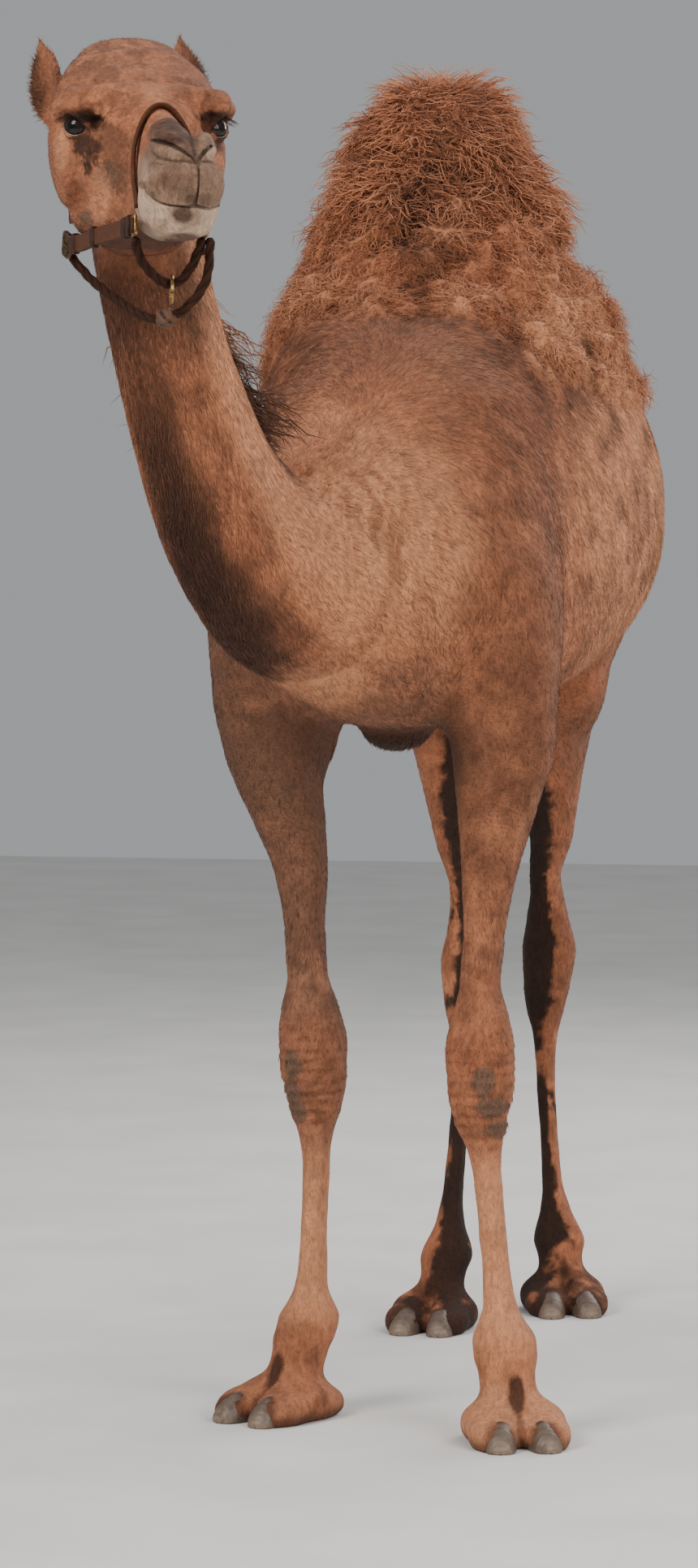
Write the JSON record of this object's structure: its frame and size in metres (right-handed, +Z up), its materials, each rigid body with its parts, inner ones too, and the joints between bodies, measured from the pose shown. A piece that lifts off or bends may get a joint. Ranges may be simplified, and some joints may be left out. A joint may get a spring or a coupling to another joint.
{
  "type": "dromedary camel model",
  "caption": "Life-size standing dromedary camel with a woolly hump, raised curved neck, head turned to its left, two-toed feet and a leather and rope head halter.",
  "frame": {"origin": "centre of the model's box on the floor under the soles", "axes": "+X forward along the body, +Y to the animal's left, +Z up; the floor is z = 0"},
  "size_m": [2.5979, 0.735, 2.142],
  "materials": {
    "coat": "short orange-tan hair",
    "wool": "loose curly brown wool",
    "pale_coat": "short pale tan hair",
    "muzzle": "fine grey-beige hair",
    "callus": "bare cracked callus",
    "horn": "dull horn",
    "eye": "wet gloss",
    "leather": "worn dark brown leather",
    "rope": "dark rolled rope",
    "brass": "dull brass"
  },
  "bodies": {
    "root": {"chest_pad": "callus", "ear_left": "wool", "ear_right": "wool", "eye_left": "eye", "eye_right": "eye", "foreleg_left_claw_inner": "horn", "foreleg_left_claw_outer": "horn", "foreleg_left_foot": "pale_coat", "foreleg_left_lower": "pale_coat", "foreleg_left_upper": "coat", "foreleg_right_claw_inner": "horn", "foreleg_right_claw_outer": "horn", "foreleg_right_foot": "pale_coat", "foreleg_right_lower": "pale_coat", "foreleg_right_upper": "coat", "halter_buckle": "brass", "halter_cheek_strap_left": "leather", "halter_cheek_strap_right": "leather", "halter_chin_ring": "brass", "halter_chin_rope": "rope", "halter_crown_strap": "leather", "halter_knot": "leather", "halter_noseband": "leather", "halter_ring_left": "brass", "halter_ring_right": "brass", "halter_throat_rope": "rope", "head": "coat", "hindleg_left_claw_inner": "horn", "hindleg_left_claw_outer": "horn", "hindleg_left_foot": "pale_coat", "hindleg_left_lower": "pale_coat", "hindleg_left_upper": "coat", "hindleg_right_claw_inner": "horn", "hindleg_right_claw_outer": "horn", "hindleg_right_foot": "pale_coat", "hindleg_right_lower": "pale_coat", "hindleg_right_upper": "coat", "hump": "wool", "lower_jaw": "muzzle", "neck": "coat", "tail": "wool", "trunk": "coat"}
  },
  "joints": []
}
